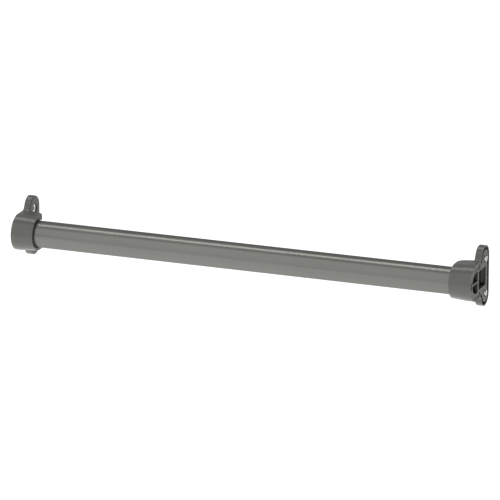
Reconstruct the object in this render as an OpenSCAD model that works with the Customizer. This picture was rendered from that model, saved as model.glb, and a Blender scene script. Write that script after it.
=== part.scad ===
// Wardrobe clothes rail: a round steel tube turning in two moulded end brackets,
// each held to the side of a cabinet by two screws through flanged metal bushes.
// The origin is at the back face of the left bracket, midway between its screw holes.
// X runs along the rail, Y towards the back of the cabinet and Z upwards.

/* [Rail] */
// Distance between the two faces that the brackets are fixed to
span = 448; // [150:1:1000]
// Outside diameter of the tube
tube_d = 25; // [22:0.5:26]
// Wall of the tube
tube_wall = 1.2; // [0.8:0.1:2]
// Gap between the tube's end and the floor of its socket
tube_end_gap = 0.5; // [0.3:0.1:1.5]
// Running clearance all round the tube in its sockets
socket_clearance = 0.06; // [0.03:0.01:0.1]

/* [Bracket plate] */
// Distance between the two screw holes of a bracket
hole_pitch = 32; // [30:0.5:36]
// Distance from the tube's axis back to the line of the screw holes
tube_forward = 25.5; // [25:0.5:32]
// Thickness of the plate with the screw lugs
plate_t = 6.6; // [6.2:0.2:8]
// Radius of the rounded lugs
lug_r = 10.6; // [10.2:0.1:12]
// Distance that the centre of a lug's rounding lies beyond its screw hole
lug_rise = 1.6; // [0.8:0.1:2]
// Rounding of the lugs' edge on the rail side
lug_edge_r = 1.2; // [0.4:0.1:1.6]
// Radius of the sweep from a lug into the cup
flare_r = 5; // [3:0.5:6]

/* [Cup] */
// Length of the cup from the cabinet side to its mouth
cup_len = 21; // [18:0.5:30]
// Half the cup's height at its mouth
mouth_half_h = 15.8; // [15.2:0.1:16]
// Half the cup's height at the cabinet side
base_half_h = 17.0; // [16.6:0.1:17.6]
// Distance that the cup's rounding is centred behind the tube's axis
cup_back = 1; // [0.2:0.1:1]
// Distance that the top and bottom walls reach behind the tube's axis
wall_reach = 13.6; // [11:0.2:15]
// Rounding of the ends of those walls, seen from above
reach_r = 6; // [3:0.5:9]
// Distance that the walls close in behind the tube, above and below it
wrap = 1; // [0:0.1:1.5]
// Lead-in at the mouth of the socket
mouth_lead = 0.9; // [0.4:0.1:1]

/* [Ribbed back] */
// Thickness of the rim that is left round the lugs
rim_t = 1.3; // [1.2:0.1:2]
// Width of the groove inside the rim
groove_w = 2.4; // [1.6:0.1:2.4]
// Width of the straight groove along the back edge
back_groove_w = 4; // [3:0.2:4.2]
// Depth of the grooves and pockets
core_depth = 4.8; // [3.4:0.2:5]
// Half the height of the large pocket between the lugs
pocket_half_h = 8.6; // [7:0.2:9]
// Distance that the large pocket ends behind the line of the screw holes
pocket_behind = 1.4; // [0:0.2:2]
// Depth of the ledge along the back of the large pocket
ledge_depth = 2.6; // [2:0.1:3]
// Radius of the two curved pockets behind the tube's end
window_r = 9.7; // [8.7:0.2:9.9]
// Thickness of the ribs between the pockets
rib_t = 1.5; // [1.2:0.1:2]

/* [Bush] */
// Outside diameter of the bush where it stands in the cabinet's hole
bush_d = 4.9; // [4.5:0.1:5]
// Bore of the bush for the screw
bush_bore = 3.8; // [3.4:0.1:4]
// Length of bush that stands out of the bracket into the cabinet's hole
bush_nose = 1.2; // [0.5:0.1:3]
// Diameter of the bush's flange
flange_d = 9.4; // [8.6:0.2:9.6]
// Thickness of the flange
flange_t = 1.4; // [0.8:0.1:1.6]
// Depth of the recess that the flange sits in
head_recess = 2.6; // [2.6:0.1:4]
// Countersink round the bush at the cabinet side
bush_lead = 1.2; // [0.4:0.1:1.4]
// Play between the bush and the hole or recess that it is pushed into
bush_play = 0.1; // [0.05:0.05:0.2]

/* [Hidden] */
$fn = 96;

tube_r = tube_d / 2;
socket_r = tube_r + socket_clearance;
opening_half_h = socket_r - wrap;
hole_z = hole_pitch / 2;
lug_z = hole_z + lug_rise;

// Centre of the concave sweep between cup and lug
flare_z = base_half_h + flare_r;
flare_y = -sqrt(pow(lug_r + flare_r, 2) - pow(flare_z - lug_z, 2));

// Groove round the boss of a screw hole
groove_r = lug_r - rim_t;
boss_r = groove_r - groove_w;
groove_end_y = -12.6;

// Shallow fields round the curved pockets and the slot in front of them
field_inner = window_r + rib_t;
field_outer = 15;
field_depth = 0.5;
field_front = 4;
field_back = 11.5;
slot_inner = 11.9;
slot_w = 2.5;
slot_half_h = 3.5;

// Upright rib between the curved pockets and the large one, measured from the tube's axis
upright_y = 4.8;
upright_t = 3;
ledge_t = 3.6;
ledge_half_h = 6;
bridge_z = 4.4;
bridge_drop = 0.7;
cut = 1;

// Extrudes a profile drawn in Y and Z along +X
module along_x(length) {
    rotate([90, 0, 90]) linear_extrude(length) children();
}

// Turns a profile of radius and depth round an axis along +X
module about_x() {
    rotate([0, 90, 0]) rotate_extrude() children();
}

module both_ways() {
    children();
    mirror([0, 1]) children();
}

module rail_tube() {
    inset = plate_t + tube_end_gap;
    color("#7d7e7a") translate([inset, -tube_forward, 0]) along_x(span - 2 * inset)
        difference() {
            circle(tube_r);
            circle(tube_r - tube_wall);
        }
}

// Three straight steps of the rounded edge, from a side at radius r inwards or outwards
function edge_points(r, way) = [
    for (turn = [0:30:90])
        [r + way * lug_edge_r * (1 - cos(turn)), plate_t - lug_edge_r * (1 - sin(turn))]
];

// Half section of a lug: radius from the lug's centre and depth from the cabinet
module lug_section() {
    polygon(concat([[0, 0], [lug_r, 0]], edge_points(lug_r, -1), [[0, plate_t]]));
}

module lug_plate() {
    for (side = [-1, 1]) translate([0, 0, side * lug_z]) about_x() lug_section();
    translate([0, 0, -lug_z]) linear_extrude(2 * lug_z)
        both_ways() rotate([0, 0, -90]) mirror([1, 0]) lug_section();
}

// Concave sweeps from the cup's top and bottom into the lugs
module flares() {
    for (side = [0, 1]) mirror([0, 0, side]) difference() {
        along_x(plate_t) polygon([
            [flare_y, base_half_h - cut],
            [flare_y, flare_z],
            [0, lug_z],
            [0, base_half_h - cut]
        ]);
        translate([0, flare_y, flare_z]) about_x() sweep_section();
    }
}

// Half section of what the sweep leaves free, with the rounding of the lugs' edge
module sweep_section() {
    inside = [[0, plate_t + cut], [0, -cut], [flare_r, -cut]];
    polygon(concat(inside, edge_points(flare_r, 1), [[flare_r + lug_edge_r, plate_t + cut]]));
}

module square_from(y0, z0, y1, z1) {
    translate([y0, z0]) square([y1 - y0, z1 - z0]);
}

// Round in front of the tube's axis and straight behind it
module bow(r, back) {
    intersection() {
        translate([-tube_forward, 0]) {
            circle(r);
            translate([0, -r]) square([r, 2 * r]);
        }
        square_from(-tube_forward - r, -r, back - tube_forward, r);
    }
}

// Outline of the top and bottom walls, seen from above
module wall_plan() {
    corner_x = cup_len - reach_r;
    corner_y = wall_reach - reach_r;
    square([corner_x, wall_reach]);
    square([cup_len, corner_y]);
    translate([corner_x, corner_y]) circle(reach_r);
}

// Length along the cup and its half height there, which tapers from the plate to the mouth
cup_edge = [[0, base_half_h], [plate_t, base_half_h], [cup_len, mouth_half_h]];

module cup_body() {
    intersection() {
        translate([0, cup_back - tube_forward, 0])
            about_x() polygon(concat([[0, 0]], [for (p = cup_edge) [p.y, p.x]], [[0, cup_len]]));
        translate([0, -tube_forward - base_half_h, -base_half_h])
            cube([cup_len, base_half_h + cup_back + cut, 2 * base_half_h]);
    }
    intersection() {
        across_y(cup_back, wall_reach) both_ways() polygon(concat([[0, 0]], cup_edge, [[cup_len, 0]]));
        translate([0, -tube_forward, -base_half_h]) linear_extrude(2 * base_half_h) wall_plan();
    }
    along_x(plate_t) square_from(cup_back - tube_forward, -base_half_h, 0, base_half_h);
}

// Extrudes a profile drawn in X and Z between two distances behind the tube's axis
module across_y(from, to) {
    translate([0, to - tube_forward, 0]) rotate([90, 0, 0]) linear_extrude(to - from) children();
}

// Space for the tube, open towards the back, with a lead-in at the mouth
module socket() {
    lead_x = cup_len - mouth_lead;
    translate([0, -tube_forward, 0]) {
        translate([plate_t, 0, 0]) rotate([0, 90, 0]) cylinder(h = cup_len, r = socket_r);
        about_x() polygon([
            [0, lead_x],
            [socket_r, lead_x],
            [socket_r + mouth_lead, cup_len],
            [socket_r + mouth_lead, cup_len + cut],
            [0, cup_len + cut]
        ]);
    }
    across_y(0, 2 * wall_reach) polygon([
        [plate_t, -opening_half_h],
        [cup_len + cut, -opening_half_h],
        [cup_len + cut, opening_half_h],
        [plate_t, opening_half_h]
    ]);
}

// Groove that follows the rim round one lug and on into the sweep
module lug_groove() {
    intersection() {
        translate([0, lug_z]) difference() {
            circle(groove_r);
            circle(boss_r);
        }
        polygon([
            [0, lug_z],
            [flare_y, flare_z],
            [flare_y, lug_z + lug_r],
            [lug_r, lug_z + lug_r],
            [lug_r, lug_z]
        ]);
    }
    intersection() {
        translate([flare_y, flare_z]) difference() {
            circle(flare_r + rim_t + groove_w);
            circle(flare_r + rim_t);
        }
        polygon([
            [flare_y, flare_z],
            [0, lug_z],
            [0, 0],
            [groove_end_y, 0],
            [groove_end_y, flare_z - flare_r]
        ]);
    }
}

// Straight groove along the back edge
module back_groove() {
    difference() {
        square_from(groove_r - back_groove_w, -lug_z, groove_r, lug_z);
        both_ways() translate([0, lug_z]) circle(boss_r);
    }
}

module bridges() {
    both_ways() square_from(0, bridge_z - rib_t / 2, lug_r, bridge_z + rib_t / 2);
}

module large_pocket() {
    square_from(upright_y + upright_t - tube_forward, -pocket_half_h, pocket_behind, pocket_half_h);
}

module ledge() {
    square_from(pocket_behind - ledge_t, -ledge_half_h, pocket_behind + cut, ledge_half_h);
}

module curved_pockets() {
    difference() {
        bow(window_r, upright_y);
        square_from(-tube_forward - window_r, -rib_t / 2, 0, rib_t / 2);
    }
}

module shallow_field() {
    both_ways() intersection() {
        difference() {
            bow(field_outer, field_back);
            bow(field_inner, field_back);
        }
        square_from(-tube_forward - field_front, 0, 0, field_outer);
    }
}

module front_slot() {
    intersection() {
        translate([-tube_forward, 0]) difference() {
            circle(slot_inner + slot_w);
            circle(slot_inner);
        }
        square_from(-tube_forward - field_outer, -slot_half_h, -tube_forward, slot_half_h);
    }
}

// Everything that is cored out of the face against the cabinet
module cores() {
    translate([-cut, 0, 0]) {
        along_x(core_depth + cut) {
            both_ways() lug_groove();
            difference() {
                back_groove();
                bridges();
            }
            difference() {
                large_pocket();
                ledge();
            }
            front_slot();
        }
        along_x(plate_t + 2 * cut) curved_pockets();
        along_x(ledge_depth + cut) large_pocket();
        along_x(bridge_drop + cut) back_groove();
        along_x(field_depth + cut) shallow_field();
    }
}

module bush_holes() {
    for (side = [-1, 1]) translate([0, 0, side * hole_z]) rotate([0, 90, 0]) {
        translate([0, 0, -cut]) cylinder(h = plate_t, d = bush_d + 2 * bush_play);
        translate([0, 0, plate_t - head_recess]) cylinder(h = plate_t, d = flange_d + 2 * bush_play);
        rotate_extrude() polygon([
            [0, -cut],
            [bush_d / 2 + bush_play + bush_lead + cut, -cut],
            [bush_d / 2 + bush_play, bush_lead],
            [0, bush_lead]
        ]);
    }
}

module bracket() {
    color("#66675f") difference() {
        union() {
            lug_plate();
            flares();
            cup_body();
        }
        socket();
        cores();
        bush_holes();
    }
}

module bush() {
    seat = plate_t - head_recess;
    color("#c9c9c5") about_x() polygon([
        [bush_bore / 2, -bush_nose],
        [bush_d / 2, -bush_nose],
        [bush_d / 2, seat],
        [flange_d / 2, seat],
        [flange_d / 2, seat + flange_t],
        [bush_bore / 2, seat + flange_t]
    ]);
}

module at_right() {
    translate([span, 0, 0]) mirror([1, 0, 0]) children();
}

module left_bush(side) {
    translate([0, 0, side * hole_z]) bush();
}

rail_tube();
bracket();  // left_bracket
at_right() bracket();  // right_bracket
left_bush(1);  // left_upper_bush
left_bush(-1);  // left_lower_bush
at_right() left_bush(1);  // right_upper_bush
at_right() left_bush(-1);  // right_lower_bush
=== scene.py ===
"""Wardrobe clothes rail: a satin painted tube that turns in two moulded end brackets.

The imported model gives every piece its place. Each visible piece is modelled over its
solid, and gets a finish of its own. All lengths are in metres, X along the rail and
Z upwards.
"""

import math

import bpy
from bpy.props import FloatProperty, FloatVectorProperty, IntProperty, PointerProperty
from mathutils import Matrix, Vector


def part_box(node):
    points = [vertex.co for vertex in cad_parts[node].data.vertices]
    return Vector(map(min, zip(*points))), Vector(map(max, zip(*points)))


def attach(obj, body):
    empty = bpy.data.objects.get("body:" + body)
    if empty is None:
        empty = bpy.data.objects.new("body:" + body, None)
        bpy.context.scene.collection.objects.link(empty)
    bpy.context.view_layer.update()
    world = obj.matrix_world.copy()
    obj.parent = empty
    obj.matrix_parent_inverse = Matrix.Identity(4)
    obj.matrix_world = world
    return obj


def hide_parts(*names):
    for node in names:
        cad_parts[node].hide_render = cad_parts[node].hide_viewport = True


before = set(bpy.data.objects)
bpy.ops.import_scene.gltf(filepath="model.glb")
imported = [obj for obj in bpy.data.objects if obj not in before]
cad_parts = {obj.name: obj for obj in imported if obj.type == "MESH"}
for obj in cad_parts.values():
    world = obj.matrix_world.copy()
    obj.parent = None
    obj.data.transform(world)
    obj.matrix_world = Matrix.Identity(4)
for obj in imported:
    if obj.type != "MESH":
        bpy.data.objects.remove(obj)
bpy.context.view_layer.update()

bl_info = {
    "name": "Wardrobe clothes rail",
    "version": (1, 0, 0),
    "blender": (4, 5, 0),
    "location": "3D View > Sidebar > Clothes rail",
    "description": "Models a wardrobe clothes rail with its brackets and bushes",
    "category": "Object",
}

MILLIMETRE = 0.001
MERGE_REACH = 0.002 * MILLIMETRE  # points closer than this become one
WHITE = (1, 1, 1)
ENDS = ("left", "right")
ROWS = ("upper", "lower")

# Share of a pattern's waves along X, Y and Z: a small share draws it out
EVEN = (1, 1, 1)
DRAWN_OUT = (0.012, 1, 1)
RUBBED_ALONG = (0.05, 1, 1)
FLOWING = (0.6, 1, 0.45)
ROUND_THE_RAIL = (0, 1, 1)

# The floor, and the glow that is strongest up to its core and fades up to its edge
FLOOR_WIDTH = 14
GLOW_OFFSET = Vector((-0.15, 0.12, 0))
GLOW_CORE, GLOW_EDGE = 0.15, 0.65

# From the rail's middle to where both lamps aim
LAMP_AIM_OFFSET = Vector((-0.7, 0, 0))

# The room is brightest on one side; the limits are cosines of the angle from there
BRIGHTEST_SIDE = Vector((-0.5, 0.7, 0.5)).normalized()
SHADE_ENDS, FULL_LIGHT_STARTS = -0.2, 0.7

SENSOR_WIDTH = 36  # millimetres
FAR_CLIP = 100  # metres

# Sockets of a Mix node that are its two colours and its result, when it mixes colours
MIX_FIRST, MIX_SECOND, MIX_RESULT = 6, 7, 2


# Sizes and colours that a user would change


def length(name, description, default, low, high):
    return FloatProperty(
        name=name,
        description=description,
        default=default,
        min=low,
        max=high,
        precision=5,
        unit="LENGTH",
    )


def count(name, description, default, low, high):
    return IntProperty(
        name=name, description=description, default=default, min=low, max=high
    )


def angle(name, description, degrees):
    return FloatProperty(
        name=name,
        description=description,
        default=math.radians(degrees),
        subtype="ANGLE",
    )


def colour(name, description, default):
    return FloatVectorProperty(
        name=name,
        description=description,
        default=default,
        size=3,
        min=0,
        max=1,
        subtype="COLOR",
    )


def factor(name, description, default):
    return FloatProperty(
        name=name,
        description=description,
        default=default,
        min=0,
        max=1,
        subtype="FACTOR",
    )


def strength(name, description, default, low, high):
    return FloatProperty(
        name=name, description=description, default=default, min=low, max=high
    )


class RailSizes(bpy.types.PropertyGroup):
    """Small sizes that the solids leave plain"""

    tube_steps: count("Tube steps", "Flat steps round the tube", 160, 48, 256)
    tube_wall: length(
        "Tube wall", "Thickness of the tube's wall", 0.0012, 0.0008, 0.002
    )
    tube_edge: length(
        "Tube edge", "Rounding of the cut ends of the tube", 0.0003, 0.0001, 0.0005
    )
    moulded_edge: length(
        "Moulded edge", "Rounding of the brackets' edges", 0.00022, 0.00005, 0.0004
    )
    bush_steps: count("Bush steps", "Flat steps round a bush", 72, 24, 128)
    bush_edge: length(
        "Bush edge", "Rounding of the bushes' edges", 0.00018, 0.0001, 0.00025
    )
    bush_bore: length(
        "Bush bore", "Bore of a bush for its screw", 0.0038, 0.0034, 0.004
    )
    bush_outside: length(
        "Bush outside", "Diameter of a bush under its flange", 0.0049, 0.0045, 0.005
    )
    flange: length("Flange", "Thickness of a bush's flange", 0.0014, 0.0008, 0.0016)


class RailFinish(bpy.types.PropertyGroup):
    """Colours and sheen of the three finishes"""

    tube_colour: colour("Tube", "Colour of the painted tube", (0.179, 0.179, 0.167))
    tube_roughness: factor("Tube roughness", "Sheen of the tube's paint", 0.28)
    tube_flake: factor("Tube flake", "Share of metal flake in the tube's paint", 0.75)
    tube_rim: factor("Tube rim", "Gloss of the paint where the tube turns away", 0.47)
    moulding_colour: colour(
        "Brackets", "Colour of the moulded brackets", (0.09, 0.0918, 0.0806)
    )
    moulding_roughness: factor(
        "Bracket roughness", "Sheen of the moulded brackets", 0.27
    )
    bush_colour: colour("Bushes", "Colour of the bright bushes", (0.95, 0.945, 0.93))
    bush_roughness: factor("Bush roughness", "Polish of the bushes", 0.175)


class StudioSettings(bpy.types.PropertyGroup):
    """Where the camera stands, and the floor and light round the rail"""

    azimuth: angle("Azimuth", "Turn of the camera to the right of the front", 21.5)
    elevation: angle("Elevation", "Rise of the camera above the rail", 16.61)
    distance: length(
        "Distance", "From the middle of the rail to the camera", 4.3663, 1, 20
    )
    aside: length("Aside", "Step of the camera to its right", 0.00663, -0.1, 0.1)
    above: length("Above", "Step of the camera upwards in its view", 0.00632, -0.1, 0.1)
    lens: FloatProperty(
        name="Lens",
        description="Focal length for a 36 mm wide frame",
        default=345.7,
        subtype="DISTANCE_CAMERA",
    )
    floor_drop: length(
        "Floor drop", "From the rail's axis down to the floor", 0.46, 0.1, 2
    )
    floor_colour: colour("Floor", "Colour of the pale floor", (0.9, 0.9, 0.9))
    floor_glow: factor("Floor glow", "Light of the lit floor panel itself", 0.68)
    foot_glow: strength(
        "Foot glow", "Light of the floor panel right under the rail", 0.85, 0.1, 4
    )
    room_light: factor("Room light", "Light of the room behind and to the left", 0.44)
    room_shade: factor("Room shade", "Light of the room before and to the right", 0.2)
    strip_light: strength(
        "Strip light", "Brightness of the strip above the rail", 5, 0, 50
    )
    box_light: strength(
        "Box light", "Brightness of the soft box before the rail", 1.1, 0, 10
    )


# Shader building


class Term:
    """A shader output that takes part in plain sums, each of which adds a Math node."""

    def __init__(self, shading, socket):
        self.shading = shading
        self.socket = socket

    def worked_out(self, operation, *values):
        return self.shading.node(
            "ShaderNodeMath", {"operation": operation}, dict(enumerate(values))
        )

    def __add__(self, other):
        return self.worked_out("ADD", self, other)

    def __radd__(self, other):
        return self.worked_out("ADD", other, self)

    def __sub__(self, other):
        return self.worked_out("SUBTRACT", self, other)

    def __rsub__(self, other):
        return self.worked_out("SUBTRACT", other, self)

    def __mul__(self, other):
        return self.worked_out("MULTIPLY", self, other)

    def __rmul__(self, other):
        return self.worked_out("MULTIPLY", other, self)

    def __abs__(self):
        return self.worked_out("ABSOLUTE", self)


class Shading:
    """Nodes of a material or of the room, with a single method that adds any node."""

    def __init__(self, tree):
        self.tree = tree

    def node(self, kind, settings=None, sockets=None, output=0):
        added = self.tree.nodes.new(kind)
        for name, value in (settings or {}).items():
            setattr(added, name, value)
        for key, value in (sockets or {}).items():
            if isinstance(value, Term):
                self.tree.links.new(value.socket, added.inputs[key])
            else:
                added.inputs[key].default_value = value
        return Term(self, added.outputs[output])


class Finish(Shading):
    """One material in variations of one tone."""

    def __init__(self, name, tone):
        self.material = bpy.data.materials.new(name)
        self.material.use_nodes = True
        self.material.diffuse_color = (*tone, 1)
        super().__init__(self.material.node_tree)
        self.tone = tone
        self.shader = self.tree.nodes["Principled BSDF"]
        self.place = self.node("ShaderNodeTexCoord", output="Object")

    def drive(self, name, value):
        """Feeds a socket of the shader that varies over the surface."""
        self.tree.links.new(value.socket, self.shader.inputs[name])

    def fix(self, name, value):
        """Sets a socket of the shader that is the same all over the surface."""
        self.shader.inputs[name].default_value = value

    def stretched_place(self, shares):
        """The place on the piece, with X, Y and Z each times its share."""
        return self.node(
            "ShaderNodeMapping", sockets={"Vector": self.place, "Scale": shares}
        )

    def noise(self, waves, detail=2, shares=EVEN, roughness=0.5):
        """Soft random values from 0 to 1, with so many waves in a metre."""
        return self.node(
            "ShaderNodeTexNoise",
            sockets={
                "Vector": self.stretched_place(shares),
                "Scale": waves,
                "Detail": detail,
                "Roughness": roughness,
            },
        )

    def distance_from(self, spot, shares=EVEN):
        """How far the place on the piece is from a spot."""
        return self.node(
            "ShaderNodeVectorMath",
            {"operation": "DISTANCE"},
            {0: self.stretched_place(shares), 1: spot},
            output="Value",
        )

    def ramp(self, value, low, high):
        """0 below low and 1 above high."""
        return self.node(
            "ShaderNodeMapRange",
            sockets={"Value": value, "From Min": low, "From Max": high},
        )

    def blend(self, mask, first, second):
        """Colour that goes from first to second as the mask goes from 0 to 1."""
        sockets = {0: mask}
        for socket, shade in ((MIX_FIRST, first), (MIX_SECOND, second)):
            sockets[socket] = shade if isinstance(shade, Term) else (*shade, 1)
        return self.node("ShaderNodeMix", {"data_type": "RGBA"}, sockets, MIX_RESULT)

    def mottle(self, mask, dark, light):
        """The tone times dark where the mask is 0, and times light where it is 1."""
        return self.blend(mask, scaled(self.tone, dark), scaled(self.tone, light))

    def tint(self, base, mask, share, light):
        """The base, with up to a share of the tone times light where the mask is 1."""
        return self.blend(mask * share, base, scaled(self.tone, light))

    def emboss(self, height, depth, under=None):
        """Normal of a surface raised by depth where height is 1, on top of another."""
        sockets = {"Height": height, "Distance": depth}
        if under:
            sockets["Normal"] = under
        return self.node("ShaderNodeBump", sockets=sockets, output="Normal")

    def worn_edges(self, radius):
        """1 on sharp edges and 0 on flats."""
        rounded = self.node(
            "ShaderNodeBevel", {"samples": 6}, {"Radius": radius}, output="Normal"
        )
        unrounded = self.node("ShaderNodeNewGeometry", output="Normal")
        likeness = self.node(
            "ShaderNodeVectorMath",
            {"operation": "DOT_PRODUCT"},
            {0: rounded, 1: unrounded},
            output="Value",
        )
        return self.ramp(1 - likeness, low=0.01, high=0.2)

    def shaded_recesses(self, reach):
        """1 deep in pockets and grooves, where ambient occlusion finds shade, and 0 on
        open faces.
        """
        openness = self.node(
            "ShaderNodeAmbientOcclusion",
            {"samples": 6},
            {"Distance": reach},
            output="AO",
        )
        return 1 - self.ramp(openness, low=0.1, high=0.6)

    def faces_across_rail(self):
        """1 on flat faces that stand square to the rail and 0 on all others."""
        normal = self.node("ShaderNodeTexCoord", output="Normal")
        along = self.node("ShaderNodeSeparateXYZ", sockets={0: normal}, output="X")
        return self.ramp(abs(along), low=0.9, high=0.97)


def scaled(shade, share):
    return tuple(min(1, channel * share) for channel in shade)


def swing(pattern, reach):
    """A pattern from 0 to 1 as a play round 0 that reaches so far from end to end."""
    return reach * (pattern - 0.5)


def satin_paint(look):
    """Baked paint on drawn tube: soft sheen, faint draw lines and fine orange peel."""
    paint = Finish("satin_tube_paint", look.tube_colour)
    cloud = paint.noise(waves=16, detail=3)
    draw_lines = paint.noise(waves=1400, detail=3, shares=DRAWN_OUT, roughness=0.6)
    orange_peel = paint.noise(waves=900, detail=1)
    specks = paint.ramp(paint.noise(waves=2600, detail=0), low=0.7, high=0.82)
    streaks = paint.noise(waves=420, detail=4, shares=RUBBED_ALONG)
    rub_marks = paint.ramp(streaks, low=0.45, high=0.75)

    body = paint.mottle(cloud, dark=0.95, light=1.05)
    lined = paint.tint(body, draw_lines, share=0.22, light=0.82)
    paint.drive("Base Color", paint.tint(lined, specks, share=0.25, light=1.3))
    sheen = look.tube_roughness + swing(cloud, 0.06) + 0.05 * rub_marks
    paint.drive("Roughness", sheen)
    peeled = paint.emboss(orange_peel, depth=0.006 * MILLIMETRE)
    drawn = paint.emboss(draw_lines, depth=0.0025 * MILLIMETRE, under=peeled)
    paint.drive("Normal", drawn)
    paint.fix("IOR", 1.5)
    paint.fix("Metallic", look.tube_flake)
    paint.fix("Specular Tint", (*scaled(WHITE, look.tube_rim), 1))
    return paint.material


def spark_grained_plastic(look):
    """Moulded plastic from a spark-eroded tool: fine grain, flow marks, rubbed edges.

    The flat faces across the rail are duller; the cored recesses are darkened with
    painted shade.
    """
    plastic = Finish("grained_moulding", look.moulding_colour)
    flow = plastic.noise(waves=60, detail=4, shares=FLOWING, roughness=0.6)
    grain = plastic.noise(waves=5200, detail=2, roughness=0.6)
    pits = plastic.noise(waves=1900, detail=1)
    edges = plastic.worn_edges(radius=0.5 * MILLIMETRE)
    shaded_recesses = plastic.shaded_recesses(reach=3 * MILLIMETRE)

    body = plastic.mottle(flow, dark=0.88, light=1.12)
    grained = plastic.tint(body, grain, share=0.35, light=0.8)
    rubbed = plastic.tint(grained, edges, share=0.35, light=1.6)
    # Painted shade: the colour goes much darker deep in pockets and grooves, where
    # ambient occlusion finds shade
    plastic.drive("Base Color", plastic.tint(rubbed, shaded_recesses, share=0.7, light=0.3))
    open_face = look.moulding_roughness + swing(flow, 0.1) + 0.06 * grain - 0.08 * edges
    dull_places = 0.2 * plastic.faces_across_rail() + 0.15 * shaded_recesses
    plastic.drive("Roughness", open_face + dull_places)
    pitted = plastic.emboss(pits, depth=0.02 * MILLIMETRE)
    grainy = plastic.emboss(grain, depth=0.011 * MILLIMETRE, under=pitted)
    plastic.drive("Normal", grainy)
    plastic.fix("IOR", 1.55)
    return plastic.material


def turned_metal(look, row):
    """Bright plated steel with fine rings of turning round the axis of a row."""
    metal = Finish(f"turned_bush_metal_{row}", look.bush_colour)
    axis = (0, 0, middle_of(f"left_{row}_bush").z)
    rings = metal.node(
        "ShaderNodeTexNoise",
        {"noise_dimensions": "1D"},
        {"W": metal.distance_from(axis, ROUND_THE_RAIL), "Scale": 6500, "Detail": 2},
    )
    stain = metal.noise(waves=700, detail=3)

    clouded = metal.mottle(stain, dark=0.93, light=1)
    metal.drive("Base Color", metal.tint(clouded, rings, share=0.2, light=0.8))
    polish = look.bush_roughness + swing(stain, 0.06) + swing(rings, 0.05)
    metal.drive("Roughness", polish)
    metal.drive("Normal", metal.emboss(rings, depth=0.004 * MILLIMETRE))
    metal.fix("Metallic", 1)
    return metal.material


def pale_floor(setting, brightest):
    """Pale matt floor, barely uneven, lit from within and most at one place."""
    floor = Finish("pale_floor", setting.floor_colour)
    cloud = floor.noise(waves=1.5)
    floor.drive("Base Color", floor.mottle(cloud, dark=0.985, light=1))
    floor.drive("Roughness", 0.85 + 0.05 * cloud)
    floor.fix("Specular IOR Level", 0.1)
    outward = floor.ramp(floor.distance_from(brightest), GLOW_CORE, GLOW_EDGE)
    outer = scaled(WHITE, setting.floor_glow / setting.foot_glow)
    floor.drive("Emission Color", floor.blend(outward, WHITE, outer))
    floor.fix("Emission Strength", setting.foot_glow)
    return floor.material


# Modelling helpers


def only(piece):
    bpy.ops.object.select_all(action="DESELECT")
    piece.select_set(True)
    bpy.context.view_layer.objects.active = piece


def take_place_into_mesh():
    bpy.ops.object.transform_apply(location=True, rotation=True, scale=True)


def new_primitive(add, name, **sizes):
    """A primitive at its size and place."""
    bpy.ops.object.select_all(action="DESELECT")
    add(**sizes)
    piece = bpy.context.object
    piece.name = name
    piece.data.name = name
    take_place_into_mesh()
    return piece


def copy_of(source, name):
    """A new object with a mesh of its own."""
    copied = bpy.data.objects.new(name, source.data.copy())
    bpy.context.scene.collection.objects.link(copied)
    return copied


def edit_all(piece, kind):
    """Enters edit mode with the whole mesh selected."""
    only(piece)
    bpy.ops.object.mode_set(mode="EDIT")
    bpy.ops.mesh.select_mode(type=kind)
    bpy.ops.mesh.select_all(action="SELECT")


def leave_edit():
    bpy.ops.object.mode_set(mode="OBJECT")


def apply_modifier(piece, kind, **settings):
    only(piece)
    modifier = piece.modifiers.new(kind.title(), kind)
    for name, value in settings.items():
        setattr(modifier, name, value)
    bpy.ops.object.modifier_apply(modifier=modifier.name)


def round_edges(piece, width, segments, degrees):
    """Rounds the edges at which the surface turns by more than so many degrees."""
    apply_modifier(
        piece,
        "BEVEL",
        width=width,
        segments=segments,
        limit_method="ANGLE",
        angle_limit=math.radians(degrees),
    )


def smooth(piece, degrees):
    only(piece)
    bpy.ops.object.shade_smooth_by_angle(angle=math.radians(degrees))


def dress(piece, material, body, node):
    """Gives a finished piece its material and its body, and hides the solid it stands
    for.
    """
    piece.data.materials.clear()
    piece.data.materials.append(material)
    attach(piece, body)
    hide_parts(node)


def middle_of(node):
    low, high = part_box(node)
    return (low + high) / 2


# Pieces


def model_tube(sizes):
    """The tube with its wall and its rounded cut ends."""
    low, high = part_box("rail_tube")
    tube = new_primitive(
        bpy.ops.mesh.primitive_cylinder_add,
        "rail_tube_drawn",
        vertices=sizes.tube_steps,
        radius=(high.z - low.z) / 2,
        depth=high.x - low.x,
        end_fill_type="NOTHING",
        location=(low + high) / 2,
        rotation=(0, math.pi / 2, 0),
    )
    apply_modifier(
        tube, "SOLIDIFY", thickness=sizes.tube_wall, offset=-1, use_even_offset=True
    )
    round_edges(tube, sizes.tube_edge, segments=3, degrees=50)
    smooth(tube, degrees=30)
    return tube


def model_bracket(end, sizes):
    """The bracket's own shape, with its edges rounded a little as by a mould."""
    bracket = copy_of(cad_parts[f"{end}_bracket"], f"{end}_bracket_moulding")
    edit_all(bracket, "VERT")
    bpy.ops.mesh.remove_doubles(threshold=MERGE_REACH)
    bpy.ops.mesh.dissolve_limited(angle_limit=math.radians(0.4))
    leave_edit()
    round_edges(bracket, sizes.moulded_edge, segments=2, degrees=25)
    smooth(bracket, degrees=35)
    apply_modifier(bracket, "WEIGHTED_NORMAL", keep_sharp=True)
    return bracket


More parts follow.
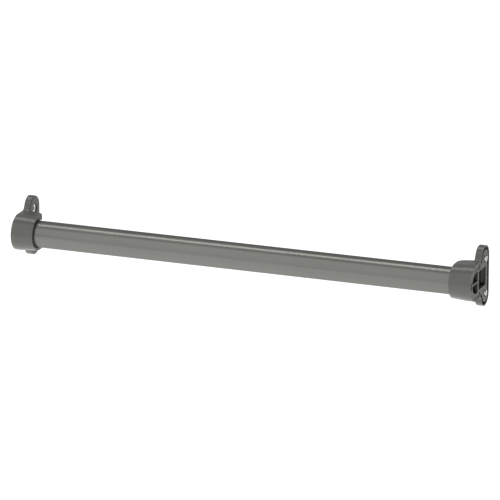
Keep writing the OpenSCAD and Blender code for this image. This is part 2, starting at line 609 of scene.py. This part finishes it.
def model_bush(sizes):
    """The left upper bush: a ring at the bore, drawn out step by step."""
    low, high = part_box("left_upper_bush")
    nose, head = low.x, high.x
    seat = head - sizes.flange
    height = (low.z + high.z) / 2
    bore, outside = sizes.bush_bore / 2, sizes.bush_outside / 2
    flange = (high.z - low.z) / 2
    bush = new_primitive(
        bpy.ops.mesh.primitive_circle_add,
        "left_upper_bush_turned",
        vertices=sizes.bush_steps,
        radius=bore,
        fill_type="NOTHING",
        location=(nose, 0, height),
        rotation=(0, math.pi / 2, 0),
    )
    edit_all(bush, "EDGE")
    place, radius = nose, bore
    for next_place, next_radius in (
        (nose, outside),
        (seat, outside),
        (seat, flange),
        (head, flange),
        (head, bore),
        (nose, bore),
    ):
        step = (next_place - place, 0, 0)
        growth = next_radius / radius
        bpy.ops.mesh.extrude_edges_move(TRANSFORM_OT_translate={"value": step})
        bpy.ops.transform.resize(
            value=(1, growth, growth), center_override=(next_place, 0, height)
        )
        place, radius = next_place, next_radius
    bpy.ops.mesh.select_all(action="SELECT")
    bpy.ops.mesh.remove_doubles(threshold=MERGE_REACH)
    bpy.ops.mesh.normals_make_consistent(inside=False)
    leave_edit()
    round_edges(bush, sizes.bush_edge, segments=3, degrees=50)
    smooth(bush, degrees=35)
    return bush


def copy_bush(pattern, end, row):
    """A copy of the left upper bush at its own place, mirrored at the right end."""
    home, place = middle_of("left_upper_bush"), middle_of(f"{end}_{row}_bush")
    bush = copy_of(pattern, f"{end}_{row}_bush_turned")
    bush.location.z = place.z - home.z
    if end == "right":
        bush.location.x = home.x + place.x
        bush.scale.x = -1
    only(bush)
    take_place_into_mesh()
    edit_all(bush, "VERT")
    bpy.ops.mesh.normals_make_consistent(inside=False)
    leave_edit()
    return bush


class RAIL_OT_tube(bpy.types.Operator):
    """Model the drawn tube with its wall and rounded cut ends"""

    bl_idname = "clothes_rail.tube"
    bl_label = "Rail tube"
    bl_options = {"REGISTER", "UNDO"}

    def execute(self, context):
        tube = model_tube(context.scene.rail_sizes)
        paint = satin_paint(context.scene.rail_finish)
        dress(tube, paint, "rail", "rail_tube")
        return {"FINISHED"}


class RAIL_OT_brackets(bpy.types.Operator):
    """Model both moulded brackets with rounded edges"""

    bl_idname = "clothes_rail.brackets"
    bl_label = "Moulded brackets"
    bl_options = {"REGISTER", "UNDO"}

    def execute(self, context):
        plastic = spark_grained_plastic(context.scene.rail_finish)
        for end in ENDS:
            bracket = model_bracket(end, context.scene.rail_sizes)
            dress(bracket, plastic, f"{end}_end", f"{end}_bracket")
        return {"FINISHED"}


class RAIL_OT_bushes(bpy.types.Operator):
    """Turn one flanged bush and copy it to the other three screw holes"""

    bl_idname = "clothes_rail.bushes"
    bl_label = "Flanged bushes"
    bl_options = {"REGISTER", "UNDO"}

    def execute(self, context):
        first = model_bush(context.scene.rail_sizes)
        for row in ROWS:
            metal = turned_metal(context.scene.rail_finish, row)
            for end in ENDS:
                is_first = (end, row) == ("left", "upper")
                bush = first if is_first else copy_bush(first, end, row)
                dress(bush, metal, f"{end}_end", f"{end}_{row}_bush")
        return {"FINISHED"}


# Stage


def soft_light(aim, name, rise, distance, size, brightness):
    """A soft rectangle that faces its aim; it rises 0 degrees in front and 90 above."""
    turn = math.radians(rise)
    lamp = bpy.data.lights.new(name, "AREA")
    lamp.shape = "RECTANGLE"
    lamp.size, lamp.size_y = size
    lamp.energy = brightness * math.pi * lamp.size * lamp.size_y  # watts for its area
    light = bpy.data.objects.new(name, lamp)
    light.location = aim + distance * Vector((0, -math.cos(turn), math.sin(turn)))
    light.rotation_euler = (aim - light.location).to_track_quat("-Z", "Y").to_euler()
    light.visible_camera = False
    bpy.context.scene.collection.objects.link(light)


def set_camera(setting, middle):
    """A camera without shift that looks at the rail from the settings' side."""
    turn, rise = setting.azimuth, setting.elevation
    right = Vector((math.cos(turn), math.sin(turn), 0))
    inward = Vector((-math.sin(turn), math.cos(turn), 0))
    up = math.sin(rise) * inward + Vector((0, 0, math.cos(rise)))
    back = right.cross(up)
    view = bpy.data.cameras.new("studio_camera")
    view.sensor_width = SENSOR_WIDTH
    view.lens = setting.lens
    view.clip_end = FAR_CLIP
    camera = bpy.data.objects.new("studio_camera", view)
    place = middle + setting.distance * back
    place += setting.aside * right + setting.above * up
    turned = Matrix((right, up, back)).transposed().to_4x4()
    camera.matrix_world = Matrix.Translation(place) @ turned
    bpy.context.scene.collection.objects.link(camera)
    bpy.context.scene.camera = camera


def set_room(setting):
    """Soft light, strongest from the back left, and colours without a film curve."""
    world = bpy.data.worlds.new("studio_room")
    world.use_nodes = True
    room = Shading(world.node_tree)
    direction = room.node("ShaderNodeTexCoord", output="Generated")
    towards = room.node(
        "ShaderNodeVectorMath",
        {"operation": "DOT_PRODUCT"},
        {0: direction, 1: BRIGHTEST_SIDE},
        output="Value",
    )
    light = room.node(
        "ShaderNodeMapRange",
        sockets={
            "Value": towards,
            "From Min": SHADE_ENDS,
            "From Max": FULL_LIGHT_STARTS,
            "To Min": setting.room_shade,
            "To Max": setting.room_light,
        },
    )
    background = room.tree.nodes["Background"]
    background.inputs["Color"].default_value = (*WHITE, 1)
    room.tree.links.new(light.socket, background.inputs["Strength"])
    bpy.context.scene.world = world
    bpy.context.scene.view_settings.view_transform = "Standard"


class RAIL_OT_stage(bpy.types.Operator):
    """Lay the pale floor and set the soft lights and the camera"""

    bl_idname = "clothes_rail.stage"
    bl_label = "Floor, light and camera"
    bl_options = {"REGISTER", "UNDO"}

    def execute(self, context):
        setting = context.scene.rail_studio
        middle = middle_of("rail_tube")
        foot = middle - Vector((0, 0, setting.floor_drop))
        floor = new_primitive(
            bpy.ops.mesh.primitive_plane_add,
            "studio_floor",
            size=FLOOR_WIDTH,
            location=foot,
        )
        floor.data.materials.append(pale_floor(setting, foot + GLOW_OFFSET))
        # Name, rise in degrees, distance, size along and across the rail, brightness
        for lamp in (
            ("overhead_strip", 103, 1.95, (2.2, 0.36), setting.strip_light),
            ("front_box", 35, 1.9, (2.7, 2.88), setting.box_light),
        ):
            soft_light(middle + LAMP_AIM_OFFSET, *lamp)
        set_room(setting)
        set_camera(setting, middle)
        return {"FINISHED"}


class RAIL_PT_pieces(bpy.types.Panel):
    """Buttons and settings for the clothes rail"""

    bl_label = "Clothes rail"
    bl_idname = "RAIL_PT_pieces"
    bl_space_type = "VIEW_3D"
    bl_region_type = "UI"
    bl_category = "Clothes rail"

    def draw(self, context):
        for operator in MAKERS:
            self.layout.operator(operator.bl_idname)
        for kept_as in GROUPS:
            group = getattr(context.scene, kept_as)
            box = self.layout.box()
            for name in group.bl_rna.properties.keys():
                if name not in {"rna_type", "name"}:
                    box.prop(group, name)


GROUPS = {
    "rail_sizes": RailSizes,
    "rail_finish": RailFinish,
    "rail_studio": StudioSettings,
}
MAKERS = (RAIL_OT_tube, RAIL_OT_brackets, RAIL_OT_bushes, RAIL_OT_stage)
CLASSES = (*GROUPS.values(), *MAKERS, RAIL_PT_pieces)


def register():
    for listed in CLASSES:
        bpy.utils.register_class(listed)
    for name, group in GROUPS.items():
        setattr(bpy.types.Scene, name, PointerProperty(type=group))


def unregister():
    for name in GROUPS:
        delattr(bpy.types.Scene, name)
    for listed in reversed(CLASSES):
        bpy.utils.unregister_class(listed)


def main():
    register()
    bpy.ops.clothes_rail.tube()
    bpy.ops.clothes_rail.brackets()
    bpy.ops.clothes_rail.bushes()
    bpy.ops.clothes_rail.stage()
    bpy.ops.object.select_all(action="DESELECT")
    bpy.context.view_layer.update()


if __name__ == "__main__":
    main()
